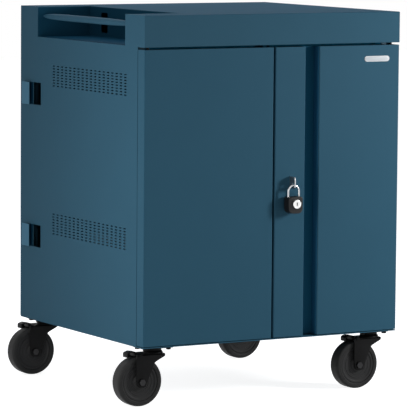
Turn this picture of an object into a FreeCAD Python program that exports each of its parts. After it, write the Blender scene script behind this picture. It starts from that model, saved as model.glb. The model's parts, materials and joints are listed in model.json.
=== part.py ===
import FreeCAD, Part
import math
import os

from FreeCAD import Vector

# A device-charging cabinet on four braked swivel casters, in millimetres.
# +Z is up, the double doors face -Y, and the origin is on the floor at the centre of the footprint.

# Cabinet body
body_width = 765.0
body_depth = 697.0
top_z = 999.0
base_top = 155.0
base_plate_thick = 2.5
sheet = 1.5
bend = 1.5
fascia_height = 81.0
lip_depth = 35.0

# Doors and their pivots
door_depth = 35.0
door_top_gap = 6.0
door_bottom_gap = 2.0
meeting_gap = 5.0
seam_gap = 2.0
return_lip = 15.0
pivot_inset = 18.0
rear_pivot_inset = 10.0
rear_door_gap = 4.0
pivot_pin_r = 4.0
pivot_reach = 10.0
pivot_flange_r = 6.5
pivot_flange_thick = 1.5
bush_r = 8.0
bush_length = 8.0
running_clearance = 0.05

# Finger channel of the right door
strip_width = 91.5
channel_width = 41.0
channel_depth = 28.0

# Side panels: handle opening, vents and cord hooks
front_post = 104.0
rear_post = 100.0
opening_depth = 80.0
vent_columns = 18
vent_rows = 3
vent_front_inset = 102.0
vent_rear_inset = 196.0
vent_pitch_z = 20.0
vent_slot_length = 13.5
vent_slot_height = 6.0
upper_vent_drop = 99.0
lower_vent_rise = 267.0
hook_hole_inset = 61.0
hook_hole_length = 59.0
hook_height = 60.0
upper_hook_drop = 152.0
lower_hook_rise = 225.0
hook_stand_off = 11.0
hook_lip = 50.0
hook_lap = 16.0
hook_leg_gap = 4.0

# Handle well and push handle
well_width = 157.0
port_inset = 66.0
port_length = 37.0
port_height = 54.0
port_drop = 15.0
port_corner = 5.0
handle_inset = 20.0
handle_drop = 25.0
handle_r = 11.3
handle_end_r = 3.0
handle_waist_share = 0.6
handle_knee_share = 0.9

# Frame inside the shell
post_leg = 25.0
post_thick = 2.0
post_setback = 10.0
header_height = 28.0
header_depth = 30.0
magnet_width = 11.0
magnet_height = 28.0
magnet_gap = 0.5

# Device bays
partition_setback = 438.0
deck_z = 186.0
shelf_flange = 25.0
bays_per_shelf = 10
divider_thick = 2.0
divider_share = 0.62
divider_nose = 90.0
divider_front_gap = 12.0
cable_slot_inset = 60.0
cable_slot_height = 44.0
cable_slot_share = 0.71

# Power equipment in the rear bay
strip_length = 600.0
strip_depth = 42.0
strip_height = 46.0
strip_rise = 110.0
outlets_per_strip = 10
outlet_width = 30.0
outlet_height = 26.0
outlet_recess = 4.0
box_inset = 60.0
box_width = 190.0
box_depth = 95.0
box_height = 92.0
box_setback = 60.0
box_wall = 2.0
inlet_width = 50.0
inlet_height = 28.0
inlet_flange = 3.0
inlet_socket_depth = 16.0
inlet_socket_wall = 4.0
switch_width = 22.0
switch_height = 30.0
switch_gap = 1.0
switch_pivot_r = 2.5
switch_proud = 4.0
switch_tilt = 8.0
switch_corner = 1.0
cord_notch_width = 40.0
cord_notch_height = 25.0

# Hasp tab and padlock
hasp_inset = 47.0
hasp_z = 556.0
hasp_thick = 3.0
hasp_reach = 26.0
hasp_above_eye = 21.0
hasp_below_eye = 10.0
hasp_base_width = 16.0
hasp_base_height = 46.0
hasp_corner = 8.0
eye_r = 5.2
eye_reach = 18.0
shackle_r = 3.5
shackle_half_span = 16.0
shackle_rest = 0.3
shackle_drop = 12.5
padlock_width = 42.0
padlock_height = 44.0
padlock_depth = 28.0
padlock_shoulder = 7.0
padlock_foot = 13.0
padlock_edge = 2.5
long_leg_depth = 30.0
short_leg_depth = 9.0
release_travel = 12.0
fit_clearance = 0.1
cylinder_r = 11.5
cylinder_proud = 6.0
cylinder_seat = 9.0
cylinder_edge = 1.0
cylinder_drop = 19.0
keyway_width = 2.0
keyway_height = 10.0

# Rear door lock
rear_lock_inset = 60.0
rear_lock_r = 9.0
rear_lock_head_r = 12.0
rear_lock_head = 4.0
cam_gap = 2.0
cam_length = 42.0
cam_width = 16.0
cam_thick = 3.0
cam_corner = 7.0

# Casters
wheel_r = 63.5
wheel_width = 38.0
rim_r = 50.0
rim_thick = 6.0
rim_step = 2.0
hub_r = 17.0
web_width = 30.0
tyre_shoulder = 5.0
hub_overhang = 1.5
caster_inset_x = 54.5
caster_inset_y = 47.0
caster_trail = 46.0
caster_plate_x = 88.0
caster_plate_y = 62.0
caster_plate_thick = 4.0
caster_plate_corner = 6.0
bolt_spacing_x = 68.0
bolt_spacing_y = 42.0
bolt_head_r = 7.0
bolt_head = 5.0
race_r = 22.0
race_bore_r = 15.0
race_height = 6.0
race_gap = 0.5
crown_z = 131.0
crown_thick = 4.0
crown_dome_r = 26.0
crown_skirt = 3.0
kingpin_r = 6.0
kingpin_sink = 1.0
leg_gap = 4.0
leg_thick = 3.5
leg_foot_r = 14.0
leg_back = 15.0
leg_knee_x = 38.0
leg_knee_z = 113.0
axle_r = 5.0
axle_head_r = 9.0
axle_head = 5.0
pedal_thick = 3.0
pedal_width = 24.0
pedal_pivot_r = 2.5
pedal_boss_r = 4.5
pedal_pivot_back = 55.0
pedal_pivot_z = 132.0
pedal_clearance = 5.0
pedal_tip_back = 81.0
pedal_crest_back = 69.0
pedal_slope = 2.0
pedal_tip_drop = 12.0
pedal_rise = 9.0

# Places worked out from the sizes above
left = -body_width / 2
right = body_width / 2
front = -body_depth / 2
back = body_depth / 2
fascia_z = top_z - fascia_height
door_low = base_top + door_bottom_gap
door_high = fascia_z - door_top_gap
seam_y = door_depth + seam_gap
well_z = top_z - opening_depth
well_front = front + front_post
well_back = back - rear_post
well_inner = left + well_width
post_face = front + seam_y + post_setback
post_back_face = back - seam_y - post_setback
inner_left = left + sheet + post_thick
inner_right = right - sheet - post_thick
partition_y = front + partition_setback
bay_height = (fascia_z - header_height - deck_z) / 2
shelf_z = deck_z + bay_height
divider_height = divider_share * bay_height
vent_heights = (fascia_z - upper_vent_drop, door_low + lower_vent_rise)
hook_heights = (fascia_z - upper_hook_drop, door_low + lower_hook_rise)
hook_hole_back = back - hook_hole_inset
port_back = well_back - port_inset

nodes = {}


def unit(vector):
    """The vector at length 1."""
    return vector * (1.0 / vector.Length)


def placer(plane):
    """How an outline's (u, v) and the height w above it map to x, y and z."""
    maps = {
        "xy": lambda u, v, w: Vector(u, v, w),
        "xz": lambda u, v, w: Vector(u, w, v),
        "yz": lambda u, v, w: Vector(w, u, v),
    }
    return maps[plane]


def rounded_wire(corners, plane, w):
    """Closed outline through (u, v, radius) corners, with each corner rounded by its own arc."""
    place = placer(plane)
    spans = []
    count = len(corners)
    for i, (u, v, radius) in enumerate(corners):
        here = Vector(u, v, 0)
        before = unit(Vector(corners[i - 1][0], corners[i - 1][1], 0) - here)
        after = unit(Vector(corners[(i + 1) % count][0], corners[(i + 1) % count][1], 0) - here)
        if radius == 0:
            spans.append((here, None, here))
            continue
        half = before.getAngle(after) / 2
        reach = radius / math.tan(half)
        middle = here + unit(before + after) * (radius / math.sin(half) - radius)
        spans.append((here + before * reach, middle, here + after * reach))
    edges = []
    for i, (start, middle, end) in enumerate(spans):
        following = spans[(i + 1) % count][0]
        a = place(start.x, start.y, w)
        b = place(end.x, end.y, w)
        if middle is not None:
            edges.append(Part.Arc(a, place(middle.x, middle.y, w), b).toShape())
        if (following - end).Length > 1e-6:
            edges.append(Part.LineSegment(b, place(following.x, following.y, w)).toShape())
    return Part.Wire(edges)


def plate(corners, plane, w0, w1):
    """Flat plate: a rounded outline carried from w0 to w1 across its plane."""
    face = Part.Face(rounded_wire(corners, plane, w0))
    return face.extrude(placer(plane)(0, 0, w1 - w0))


def folded(path, plane, w0, w1, thick=sheet, radius=bend):
    """Folded sheet strip: path is its outer face, the metal lies to the left, bends are rounded."""
    points = [Vector(u, v, 0) for u, v in path]
    runs = [unit(b - a) for a, b in zip(points, points[1:])]
    normals = [Vector(-run.y, run.x, 0) for run in runs]
    outer = []
    inner = []
    for i, point in enumerate(points):
        first = normals[max(i - 1, 0)]
        second = normals[min(i, len(normals) - 1)]
        offset = point + (first + second) * (thick / (1 + first.dot(second)))
        outer_r = inner_r = 0
        if 0 < i < len(points) - 1:
            turns_left = runs[i - 1].cross(runs[i]).z > 0
            outer_r = radius + thick if turns_left else radius
            inner_r = radius if turns_left else radius + thick
        outer.append((point.x, point.y, outer_r))
        inner.append((offset.x, offset.y, inner_r))
    return plate(outer + inner[::-1], plane, w0, w1)


def rectangle(u0, u1, v0, v1, radius=0):
    """Corners of a rectangle, all rounded alike."""
    return [(u0, v0, radius), (u1, v0, radius), (u1, v1, radius), (u0, v1, radius)]


def hexagon(u, v, radius):
    """Corners of a bolt head's hexagon about (u, v)."""
    turns = [math.radians(degrees) for degrees in range(0, 360, 60)]
    return [(u + radius * math.cos(turn), v + radius * math.sin(turn), 0) for turn in turns]


def block(x0, x1, y0, y1, z0, z1):
    """Plain rectangular block between two corners."""
    return Part.makeBox(x1 - x0, y1 - y0, z1 - z0, Vector(x0, y0, z0))


def rod(start, direction, radius, length):
    """Round rod from a start point along a direction."""
    return Part.makeCylinder(radius, length, start, direction)


def fuse(first, *others):
    """One solid from several that touch or cross, with leftover seams removed."""
    return first.fuse(list(others)).removeSplitter()


def revolved(profile, centre, axis, turn_from):
    """Solid of revolution: (radius, height) corners turned about the axis through the centre."""
    points = [centre + turn_from * r + axis * h for r, h in profile]
    return Part.Face(Part.makePolygon(points + points[:1])).revolve(centre, axis, 360)


up = Vector(0, 0, 1)
along_x = Vector(1, 0, 0)
along_y = Vector(0, 1, 0)


def vent_slots(x0, x1):
    """The slots of both vents of one side, as one cutting tool."""
    tools = []
    pitch = (body_depth - vent_front_inset - vent_rear_inset) / (vent_columns - 1)
    for centre in vent_heights:
        for column in range(vent_columns):
            y = front + vent_front_inset + column * pitch
            for row in range(vent_rows):
                z = centre + (row - (vent_rows - 1) / 2) * vent_pitch_z
                tools.append(block(x0, x1, y - vent_slot_length / 2, y + vent_slot_length / 2,
                                   z - vent_slot_height / 2, z + vent_slot_height / 2))
    return Part.makeCompound(tools)


def side_outline(with_opening):
    """Side sheet: full height behind the front doors, with an ear beside the front fascia."""
    corner = bend + sheet
    upper = [(back, top_z, corner), (front, top_z, corner)]
    if with_opening:
        upper[1:1] = [
            (well_back, top_z, 0), (well_back, well_z, 0), (well_front, well_z, 0), (well_front, top_z, 0),
        ]
    return [
        (front + seam_y, base_top, 0), (back, base_top, 0), *upper,
        (front, fascia_z, 0), (front + seam_y, fascia_z, 0),
    ]


def cord_hook(centre):
    """Hook on the left side behind its cable hole: a leg on the sheet and a lip that overhangs it."""
    low = centre - hook_height / 2
    high = centre + hook_height / 2
    lip_y = hook_hole_back - hook_lap
    leg_y = hook_hole_back + hook_leg_gap
    lip_x = left - hook_stand_off
    lip = plate(rectangle(lip_y, lip_y + hook_lip, low, high, bend), "yz", lip_x, lip_x + sheet)
    return fuse(lip, block(lip_x, left, leg_y, leg_y + sheet, low, high))


def side_panels():
    """Both side sheets, the left one with the handle opening and the cord hooks."""
    left_side = plate(side_outline(True), "yz", left, left + sheet)
    right_side = plate(side_outline(False), "yz", right - sheet, right)
    left_side = left_side.cut(vent_slots(left, left + sheet))
    right_side = right_side.cut(vent_slots(right - sheet, right))
    for centre in hook_heights:
        left_side = left_side.cut(block(left, left + sheet, hook_hole_back - hook_hole_length, hook_hole_back,
                                        centre - hook_height / 2, centre + hook_height / 2))
        left_side = fuse(left_side, cord_hook(centre))
    nodes["left_side_panel"] = left_side
    nodes["right_side_panel"] = right_side


def pivot_places():
    """Pivot axes of the left, right and rear doors."""
    return {
        "left": (left + pivot_inset, front + pivot_inset),
        "right": (right - pivot_inset, front + pivot_inset),
        "rear": (right - pivot_inset, back - rear_pivot_inset),
    }


def top_panel():
    """Top sheet folded down into both fascias, with lips that hold the upper door pivots."""
    path = [
        (front + lip_depth, fascia_z), (front, fascia_z), (front, top_z),
        (back, top_z), (back, fascia_z), (back - lip_depth, fascia_z),
    ]
    top = folded(path[::-1], "yz", left + sheet, right - sheet)
    top = top.cut(block(left, well_inner, well_front, well_back, well_z, top_z))
    for x, y in pivot_places().values():
        top = top.cut(rod(Vector(x, y, fascia_z), up, pivot_pin_r, sheet))
    nodes["top_panel"] = top


def handle_well():
    """Tray let into the top behind the left side's opening, with a cable port in its inner wall."""
    path = [(well_inner, top_z - sheet), (well_inner, well_z), (left + sheet, well_z)]
    tray = folded(path, "xz", well_front, well_back)
    ends = []
    for y in (well_front - sheet, well_back):
        ends.append(block(left + sheet, well_inner + sheet, y, y + sheet, well_z - sheet, top_z - sheet))
    port_top = top_z - port_drop
    port = plate(rectangle(port_back - port_length, port_back, port_top - port_height, port_top, port_corner),
                 "yz", well_inner - sheet, well_inner + 2 * sheet)
    nodes["handle_well"] = fuse(tray, *ends).cut(port)


def push_handle():
    """Spindle-shaped grip between the well's end walls: three arcs near an ellipse, turned about its axis."""
    half = (well_back - well_front) / 2
    middle = Vector(left + handle_inset, (well_front + well_back) / 2, top_z - handle_drop)

    def bow(share):
        """Point of the grip's outline at a share of its half length, on a half ellipse over its stub ends."""
        radius = handle_end_r + (handle_r - handle_end_r) * math.sqrt(1 - share * share)
        return middle + along_y * (half * share) + along_x * radius

    arcs = []
    knots = (-1, -handle_knee_share, -handle_waist_share, 0, handle_waist_share, handle_knee_share, 1)
    for shares in (knots[:3], knots[2:5], knots[4:]):
        arcs.append(Part.Arc(*[bow(share) for share in shares]).toShape())
    corners = [bow(1), middle + along_y * half, middle - along_y * half, bow(-1)]
    sides = [Part.LineSegment(a, b).toShape() for a, b in zip(corners, corners[1:])]
    nodes["push_handle"] = Part.Face(Part.Wire([*arcs, *sides])).revolve(middle, along_y, 360)


def base_and_posts():
    """Base plate, the four corner posts and the two headers that stiffen the shell."""
    nodes["base_plate"] = plate(rectangle(left, right, front, back, bend + sheet), "xy",
                                base_top - base_plate_thick, base_top)
    posts = []
    headers = []
    for face, inward in ((post_face, 1), (post_back_face, -1)):
        for side, inside in ((left + sheet, 1), (right - sheet, -1)):
            legs = [
                (side, face, 0), (side + inside * post_leg, face, 0),
                (side + inside * post_leg, face + inward * post_thick, 0),
                (side + inside * post_thick, face + inward * post_thick, 0),
                (side + inside * post_thick, face + inward * post_leg, 0),
                (side, face + inward * post_leg, 0),
            ]
            posts.append(plate(legs, "xy", base_top, top_z - sheet))
        near = face + inward * post_thick
        far = near + inward * header_depth
        low = fascia_z - header_height
        path = [(far, low), (near, low), (near, fascia_z), (far, fascia_z)]
        if inward > 0:
            path = path[::-1]
        headers.append(folded(path, "yz", inner_left, inner_right))
    nodes["corner_posts"] = Part.makeCompound(posts)
    nodes["headers"] = Part.makeCompound(headers)


def magnet_catches():
    """Magnet catches on the front header, one behind the meeting edge of each door."""
    near = front + door_depth + magnet_gap
    catches = []
    for side in (-1, 1):
        x = side * (meeting_gap / 2 + return_lip / 2)
        catches.append(block(x - magnet_width / 2, x + magnet_width / 2, near, post_face + post_thick,
                             fascia_z - header_height, fascia_z - header_height + magnet_height))
    nodes["magnet_catches"] = Part.makeCompound(catches)


def device_bays():
    """Deck, shelf and rear partition, with dividers that part the bays."""
    front_y = post_face + post_thick
    levels = (("bottom_deck", deck_z, deck_z - base_top), ("middle_shelf", shelf_z, shelf_flange))
    for name, z, flange in levels:
        path = [(front_y, z - flange), (front_y, z), (partition_y, z), (partition_y, z - flange)]
        nodes[name] = folded(path[::-1], "yz", inner_left, inner_right)
    wall = block(left + sheet, right - sheet, partition_y, partition_y + sheet, base_top, well_z - sheet)
    pitch = (inner_right - inner_left) / bays_per_shelf
    for name, z in (("lower_dividers", deck_z), ("upper_dividers", shelf_z)):
        slot_z = z + cable_slot_share * bay_height
        wall = wall.cut(block(left + cable_slot_inset, right - cable_slot_inset,
                              partition_y, partition_y + sheet, slot_z, slot_z + cable_slot_height))
        fins = []
        for bay in range(1, bays_per_shelf):
            x = inner_left + bay * pitch
            corners = rectangle(front_y + divider_front_gap, partition_y, z, z + divider_height)
            corners[3] = (*corners[3][:2], divider_nose)
            fins.append(plate(corners, "yz", x - divider_thick / 2, x + divider_thick / 2))
        nodes[name] = Part.makeCompound(fins)
    nodes["rear_partition"] = wall


def power_equipment():
    """Outlet strips on the partition, and the control box with its inlet and rocker switch."""
    face = partition_y + sheet
    for name, shelf in (("lower_outlet_strip", deck_z), ("upper_outlet_strip", shelf_z)):
        z = shelf + strip_rise
        strip = block(-strip_length / 2, strip_length / 2, face, face + strip_depth, z, z + strip_height)
        pitch = strip_length / outlets_per_strip
        for outlet in range(outlets_per_strip):
            x = -strip_length / 2 + (outlet + 0.5) * pitch
            middle = z + strip_height / 2
            strip = strip.cut(block(x - outlet_width / 2, x + outlet_width / 2,
                                    face + strip_depth - outlet_recess, face + strip_depth,
                                    middle - outlet_height / 2, middle + outlet_height / 2))
        nodes[name] = strip
    x0 = left + box_inset
    rear = back - seam_y - box_setback
    case = block(x0, x0 + box_width, rear - box_depth, rear, base_top, base_top + box_height)
    case = case.cut(block(x0 + box_wall, x0 + box_width - box_wall,
                          rear - box_depth + box_wall, rear - box_wall,
                          base_top + box_wall, base_top + box_height - box_wall))
    inlet_x = x0 + box_width / 3
    switch_x = x0 + box_width * 2 / 3
    z = base_top + box_height / 2
    half_w = inlet_width / 2
    half_h = inlet_height / 2
    rim = inlet_flange
    neck = block(inlet_x - half_w, inlet_x + half_w, rear - inlet_socket_depth - rim, rear,
                 z - half_h, z + half_h)
    case = case.cut(neck)
    flange = block(inlet_x - half_w - rim, inlet_x + half_w + rim, rear, rear + rim,
                   z - half_h - rim, z + half_h + rim)
    wall = inlet_socket_wall
    socket = block(inlet_x - half_w + wall, inlet_x + half_w - wall, rear - inlet_socket_depth, rear + rim,
                   z - half_h + wall, z + half_h - wall)
    nodes["power_inlet"] = fuse(neck, flange).cut(socket)
    gap = switch_gap
    half_w = switch_width / 2
    half_h = switch_height / 2
    seat = rear - 2 * box_wall
    hub = 2 * switch_pivot_r
    case = case.cut(block(switch_x - half_w - gap, switch_x + half_w + gap, rear - box_wall, rear,
                          z - half_h - gap, z + half_h + gap))
    nose = rear + switch_proud
    outline = [
        (seat, z - half_h + 2 * gap, 0), (nose, z - half_h + gap, switch_corner),
        (nose - switch_proud / 2, z, 0),
        (nose, z + half_h - gap, switch_corner), (seat, z + half_h - 2 * gap, 0),
    ]
    rocker = plate(outline, "yz", switch_x - half_w, switch_x + half_w)
    pin_length = switch_width + 2 * gap + 2 * box_wall
    pivot = Vector(switch_x - pin_length / 2, seat - switch_pivot_r, z)
    rocker = fuse(rocker, block(switch_x - half_w, switch_x + half_w, seat - hub, seat, z - hub, z + hub),
                  rod(pivot, along_x, switch_pivot_r, pin_length))
    ears = []
    for side in (-1, 1):
        x = switch_x + side * (half_w + gap + box_wall)
        ears.append(block(x - box_wall, x + box_wall, seat - 2 * hub, rear - box_wall, z - hub, z + hub))
    case = fuse(case, *ears)
    case = case.cut(rod(pivot, along_x, switch_pivot_r + running_clearance, pin_length))
    nodes["control_box"] = case
    rocker.rotate(pivot, along_x, switch_tilt)
    nodes["rocker_switch"] = rocker
    return pivot + along_x * (pin_length / 2)


def pan_flanges(x0, x1, y0, y1):
    """Top and bottom flanges of a door pan."""
    return [block(x0, x1, y0, y1, z, z + sheet) for z in (door_low, door_high - sheet)]


def pivot_bushes(place):
    """Bushes inside a door pan's top and bottom flanges, and the bore that runs through them."""
    x, y = place
    low = Vector(x, y, door_low)
    high = Vector(x, y, door_high - bush_length)
    bushes = [rod(low, up, bush_r, bush_length), rod(high, up, bush_r, bush_length)]
    return bushes, rod(low, up, pivot_pin_r + running_clearance, door_high - door_low)


def doors():
    """The two front door pans and the rear one, each hung on two pivot pins."""
    half_gap = meeting_gap / 2
    rear_edge = front + door_depth
    places = pivot_places()
    left_path = [
        (left, rear_edge), (left, front), (-half_gap, front), (-half_gap, rear_edge),
        (-half_gap - return_lip, rear_edge),
    ]
    strip_end = half_gap + strip_width
    channel_end = strip_end + channel_width
    channel_y = front + channel_depth
    right_path = [
        (half_gap + return_lip, rear_edge), (half_gap, rear_edge), (half_gap, front), (strip_end, front),
        (strip_end, channel_y), (channel_end, channel_y), (channel_end, front), (right, front),
        (right, rear_edge),
    ]
    rear_left = left + sheet + rear_door_gap
    rear_right = right - sheet - rear_door_gap
    rear_path = [
        (rear_right, back - door_depth), (rear_right, back),
        (rear_left, back), (rear_left, back - door_depth),
    ]
    left_door = folded(left_path, "xy", door_low, door_high)
    right_door = folded(right_path, "xy", door_low, door_high)
    rear_door = folded(rear_path, "xy", door_low, door_high)
    left_flanges = pan_flanges(left + sheet, -half_gap - sheet, front + sheet, rear_edge - sheet)
    channel = block(strip_end - sheet, channel_end + sheet, front, channel_y + sheet, door_low, door_high)
    right_flanges = [flange.cut(channel) for flange in
                     pan_flanges(half_gap + sheet, right - sheet, front + sheet, rear_edge - sheet)]
    rear_flanges = pan_flanges(rear_left + sheet, rear_right - sheet, back - door_depth, back - sheet)
    for name, skin, flanges, place in (
        ("left_door", left_door, left_flanges, places["left"]),
        ("right_door", right_door, right_flanges, places["right"]),
        ("rear_door", rear_door, rear_flanges, places["rear"]),
    ):
        bushes, bore = pivot_bushes(place)
        nodes[name] = fuse(skin, *flanges, *bushes).cut(bore)
    notch_x = left + box_inset + box_width / 3
    notch = block(notch_x - cord_notch_width / 2, notch_x + cord_notch_width / 2, back - door_depth, back,
                  door_low, door_low + cord_notch_height)
    nodes["rear_door"] = nodes["rear_door"].cut(notch)


def pivot_pins():
    """Pivot pins: the upper ones hang from the fascia lips, the lower ones stand on the base plate."""
    uppers = []
    lowers = []
    for x, y in pivot_places().values():
        seat = Vector(x, y, fascia_z + sheet)
        drop = sheet + door_top_gap + pivot_reach
        uppers.append(fuse(rod(seat, up, pivot_flange_r, pivot_flange_thick),
                           rod(seat - up * drop, up, pivot_pin_r, drop)))
        foot = Vector(x, y, base_top)
        lowers.append(fuse(rod(foot, up, pivot_flange_r, pivot_flange_thick),
                           rod(foot, up, pivot_pin_r, door_bottom_gap + pivot_reach)))
    nodes["upper_pivot_pins"] = Part.makeCompound(uppers)
    nodes["lower_pivot_pins"] = Part.makeCompound(lowers)


def hasp_and_padlock():
    """Hasp tab through the right door's strip, and the padlock that hangs in its eye."""
    x = meeting_gap / 2 + hasp_inset
    eye = Vector(x, front - eye_reach, hasp_z)
    low = hasp_z - hasp_below_eye
    high = hasp_z + hasp_above_eye
    tip = front - hasp_reach
    root = front + sheet + hasp_thick
    tab = plate([(root, low, 0), (root, high, 0), (tip, high, hasp_corner), (tip, low, hasp_corner)], "yz",
                x - hasp_thick / 2, x + hasp_thick / 2)
    middle = (low + high) / 2
    base = block(x - hasp_base_width / 2, x + hasp_base_width / 2, front + sheet, root,
                 middle - hasp_base_height / 2, middle + hasp_base_height / 2)
    tab = fuse(tab, base)
    nodes["hasp_tab"] = tab.cut(rod(eye - along_x * hasp_thick, along_x, eye_r, 2 * hasp_thick))
    slot = block(x - hasp_thick / 2, x + hasp_thick / 2, front, front + sheet, low, high)
    nodes["right_door"] = nodes["right_door"].cut(slot)

    bow_top = hasp_z - (eye_r - shackle_r - shackle_rest)
    bow_z = bow_top - shackle_half_span
    body_top = bow_z - shackle_drop
    y = eye.y
    a = Vector(x - shackle_half_span, y, body_top - long_leg_depth)
    b = Vector(x - shackle_half_span, y, bow_z)
    c = Vector(x, y, bow_top)
    d = Vector(x + shackle_half_span, y, bow_z)
    e = Vector(x + shackle_half_span, y, body_top - short_leg_depth)
    spans = (Part.LineSegment(a, b), Part.Arc(b, c, d), Part.LineSegment(d, e))
    path = Part.Wire([span.toShape() for span in spans])
    ring = Part.Wire([Part.makeCircle(shackle_r, a, up)])
    nodes["padlock_shackle"] = path.makePipeShell([ring], True, False)

    low = body_top - padlock_height
    half = padlock_width / 2
    shoulder = padlock_shoulder
    foot = padlock_foot
    outline = [
        (x - half, low, foot), (x + half, low, foot),
        (x + half, body_top, shoulder), (x - half, body_top, shoulder),
    ]
    face_y = y - padlock_depth / 2
    case = plate(outline, "xz", face_y, face_y + padlock_depth)
    rims = [edge for edge in case.Edges if edge.BoundBox.YLength < 1e-6]
    case = case.makeChamfer(padlock_edge, rims)
    hole_r = shackle_r + fit_clearance
    spare = release_travel / 4
    for leg, depth in ((a, long_leg_depth), (e, short_leg_depth)):
        case = case.cut(rod(Vector(leg.x, y, body_top - depth - spare), up, hole_r, depth + 2 * spare))
    centre = Vector(x, face_y, body_top - cylinder_drop)
    seat = cylinder_seat + fit_clearance
    case = case.cut(rod(centre + along_y * seat, -along_y, cylinder_r + fit_clearance, seat))
    nodes["padlock_body"] = case
    plug = rod(centre + along_y * cylinder_seat, -along_y, cylinder_r, cylinder_seat + cylinder_proud)
    front_rim = [edge for edge in plug.Edges if edge.BoundBox.YMax < face_y - cylinder_proud / 2]
    plug = plug.makeChamfer(cylinder_edge, front_rim)
    keyway = block(centre.x - keyway_width / 2, centre.x + keyway_width / 2, face_y - cylinder_proud, face_y,
                   centre.z - keyway_height / 2, centre.z + keyway_height / 2)
    nodes["padlock_cylinder"] = plug.cut(keyway)
    return {"swing": c, "cylinder": centre}


def rear_lock():
    """Keyed cam lock near the rear door's free edge; its cam turns behind the corner post."""
    x = left + rear_lock_inset
    z = (door_low + door_high) / 2
    inner = post_back_face - post_thick - cam_gap
    barrel = rod(Vector(x, inner - cam_thick, z), along_y, rear_lock_r, back - inner + cam_thick)
    head = rod(Vector(x, back, z), along_y, rear_lock_head_r, rear_lock_head)
    half = cam_width / 2
    outline = rectangle(x - half, x + half, z - half, z + cam_length, cam_corner)
    cam = plate(outline, "xz", inner - cam_thick, inner)
    lock = fuse(barrel, head, cam)
    keyway = block(x - keyway_width / 2, x + keyway_width / 2, back, back + rear_lock_head,
                   z - keyway_height / 2, z + keyway_height / 2)
    nodes["rear_lock"] = lock.cut(keyway)
    hole = rod(Vector(x, back - sheet, z), along_y, rear_lock_r + running_clearance, sheet)
    nodes["rear_door"] = nodes["rear_door"].cut(hole)
    return Vector(x, back, z)


def caster_places():
    """Kingpin axes of the four casters by name."""
    x = body_width / 2 - caster_inset_x
    y = body_depth / 2 - caster_inset_y
    return {"front_left": (-x, -y), "front_right": (x, -y), "rear_left": (-x, y), "rear_right": (x, y)}


def caster_mounts():
    """Top plates with their upper races, and the heads of the bolts that hold them to the base plate."""
    plate_low = base_top - base_plate_thick - caster_plate_thick
    plates = []
    bolts = []
    for x, y in caster_places().values():
        half_x = caster_plate_x / 2
        half_y = caster_plate_y / 2
        slab = plate(rectangle(x - half_x, x + half_x, y - half_y, y + half_y, caster_plate_corner), "xy",
                     plate_low, plate_low + caster_plate_thick)
        race = rod(Vector(x, y, plate_low - race_height), up, race_r, race_height)
        race = race.cut(rod(Vector(x, y, plate_low - race_height), up, race_bore_r, race_height))
        bore = rod(Vector(x, y, plate_low), up, kingpin_r + running_clearance, caster_plate_thick)
        slab = fuse(slab, race).cut(bore)
        for bolt_x in (x - bolt_spacing_x / 2, x + bolt_spacing_x / 2):
            for bolt_y in (y - bolt_spacing_y / 2, y + bolt_spacing_y / 2):
                head = hexagon(bolt_x, bolt_y, bolt_head_r)
                bolts.append(plate(head, "xy", plate_low - bolt_head, plate_low))
        plates.append(slab)
    nodes["caster_plates"] = Part.makeCompound(plates)
    nodes["caster_bolts"] = Part.makeCompound(bolts)


def caster_fork(x, y):
    """Swivel fork: domed crown and kingpin, with two tapering legs down to the axle."""
    plate_low = base_top - base_plate_thick - caster_plate_thick
    axle_x = x - caster_trail
    inner = wheel_width / 2 + leg_gap
    outer = inner + leg_thick
    crown_top = crown_z + crown_thick
    crown_left = x - pedal_pivot_back + pedal_boss_r + pedal_clearance
    crown = plate(rectangle(crown_left, x + race_r, y - outer, y + outer), "xy", crown_z, crown_top)
    race_low = plate_low - race_height - race_gap
    dome = Part.makeCone(crown_dome_r, race_r, race_low - crown_top, Vector(x, y, crown_top), up)
    pin_top = plate_low + caster_plate_thick - kingpin_sink
    kingpin = rod(Vector(x, y, crown_top), up, kingpin_r, pin_top - crown_top)
    foot_drop = leg_foot_r / math.sqrt(2)
    legs = []
    for low, high in ((y - outer, y - inner), (y + inner, y + outer)):
        outline = [
            (axle_x - leg_back, crown_top, 0), (axle_x - leg_back, wheel_r + leg_back, 0),
            (axle_x - foot_drop, wheel_r - leg_foot_r, leg_foot_r / 2),
            (axle_x + foot_drop, wheel_r - leg_foot_r, leg_foot_r / 2),
            (axle_x + leg_knee_x, leg_knee_z, leg_foot_r),
            (x + race_r, crown_z - crown_skirt, 0), (x + race_r, crown_top, 0),
        ]
        legs.append(plate(outline, "xz", low, high))
    fork = fuse(crown, dome, kingpin, *legs)
    fork = fork.cut(rod(Vector(axle_x, y - outer, wheel_r), along_y, axle_r, 2 * outer))
    pin = Vector(x - pedal_pivot_back, y - outer, pedal_pivot_z)
    return fork.cut(rod(pin, along_y, pedal_pivot_r + running_clearance, 2 * outer))


def caster_pedal(x, y):
    """Brake pedal: a folded tread on a pivot pin between the fork's legs."""
    half = pedal_width / 2
    top = pedal_pivot_z + pedal_rise
    tip = x - pedal_tip_back
    root = x - pedal_pivot_back
    path = [
        (tip, top - pedal_slope - pedal_tip_drop), (tip, top - pedal_slope),
        (x - pedal_crest_back, top + pedal_slope), (root, top), (root + pedal_boss_r, top - 2 * pedal_thick),
    ]
    tread = folded(path[::-1], "xz", y - half, y + half, pedal_thick)
    boss = rod(Vector(root, y - half, pedal_pivot_z), along_y, pedal_boss_r, pedal_width)
    web = block(root - pedal_boss_r, root + pedal_boss_r / 2, y - half, y + half,
                pedal_pivot_z, top - pedal_thick / 2)
    reach = wheel_width / 2 + leg_gap + leg_thick
    pin = rod(Vector(root, y - reach, pedal_pivot_z), along_y, pedal_pivot_r, 2 * reach)
    return fuse(tread, boss, web, pin)


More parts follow.
